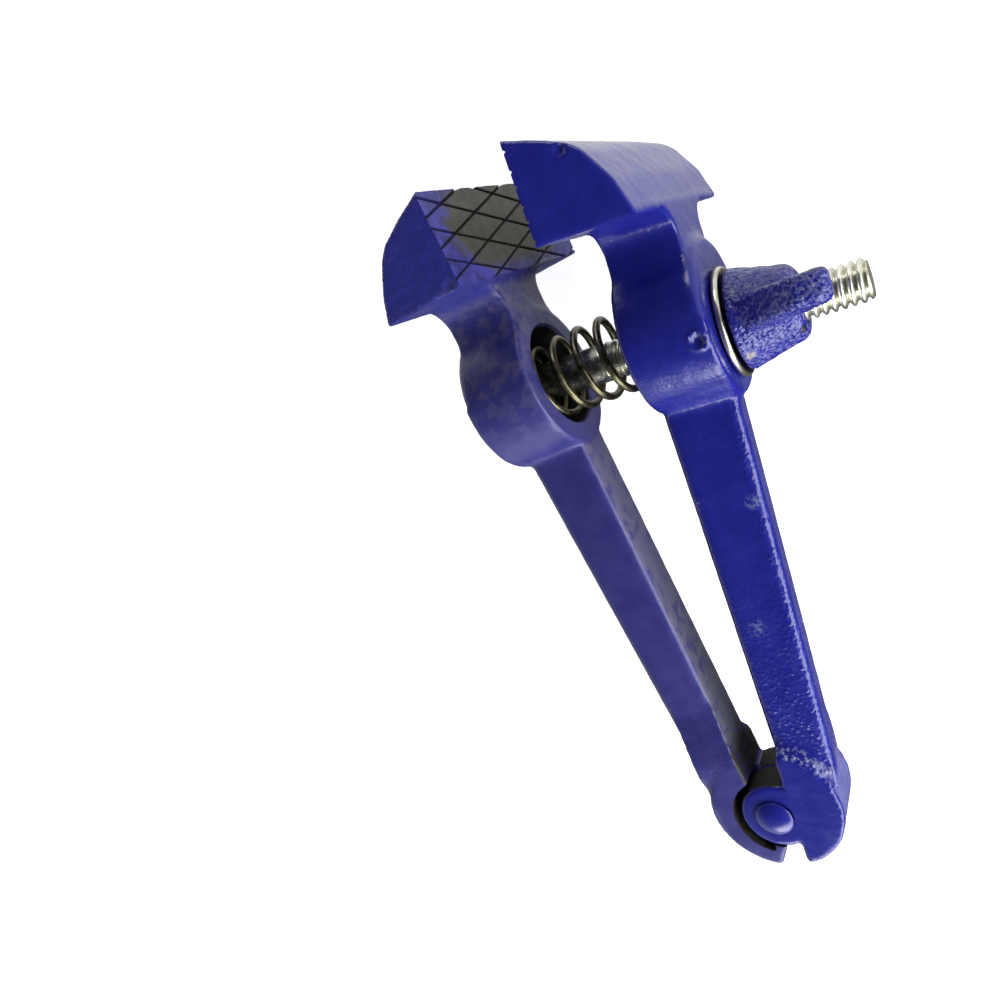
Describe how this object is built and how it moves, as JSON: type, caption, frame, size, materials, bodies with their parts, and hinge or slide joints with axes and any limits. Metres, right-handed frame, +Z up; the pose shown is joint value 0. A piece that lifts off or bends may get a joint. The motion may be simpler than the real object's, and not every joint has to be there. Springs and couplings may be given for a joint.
{
  "type": "hand vise",
  "caption": "Hand vise with hinged legs, broad jaws on short necks, a spring between the legs and a screw with a wing nut that draws them together.",
  "frame": {"origin": "middle of the vise's footprint, on the plane of the jaws' lower end faces that it lies on", "axes": "+X from the fixed leg towards the wing nut, +Y from the hinge to the jaws, +Z up along the hinge axis"},
  "size_m": [0.0652, 0.1244, 0.0452],
  "materials": {
    "blue_enamel": "gloss enamel over rough casting, ground jaw faces",
    "rivet_enamel": "gloss enamel",
    "screw_zinc": "bright zinc plating",
    "washer_zinc": "bright plating",
    "nut_enamel": "gloss enamel over rough casting",
    "spring_steel": "dark oiled steel"
  },
  "bodies": {
    "fixed_leg": {"fixed_leg": "blue_enamel", "hinge_rivet": "rivet_enamel", "spring": "spring_steel"},
    "moving_leg": {"moving_leg": "blue_enamel"},
    "screw": {"clamping_screw": "screw_zinc"},
    "washer": {"washer": "washer_zinc"},
    "wing_nut": {"wing_nut": "nut_enamel"}
  },
  "joints": [
    {"name": "leg_hinge", "type": "hinge", "parent": "fixed_leg", "child": "moving_leg", "pos_m": [-0.00766, -0.05247, 0.0226], "axis": [0, 0, -1], "range_deg": [-7, 5.4], "deforming": ["spring"]},
    {"name": "screw_tilt", "type": "hinge", "parent": "fixed_leg", "child": "screw", "pos_m": [-0.02881, 0.03693, 0.0226], "axis": [0, 0, -1], "range_deg": [-7, 5.4]},
    {"name": "nut_travel", "type": "slide", "parent": "screw", "child": "washer", "axis": [0.998, -0.0628, 0], "range_m": [-0.01074, 0.00829]},
    {"name": "wing_nut_turn", "type": "hinge", "parent": "washer", "child": "wing_nut", "pos_m": [-0.02922, 0.03044, 0.0226], "axis": [0.998, -0.0628, 0], "range_deg": [-3045, 2349]}
  ],
  "couplings": [
    {"joint": "screw_tilt", "follows": "leg_hinge", "ratio": 1},
    {"joint": "nut_travel", "follows": "leg_hinge", "m_per_rad": 0.0879},
    {"joint": "wing_nut_turn", "follows": "leg_hinge", "ratio": 434.88}
  ]
}
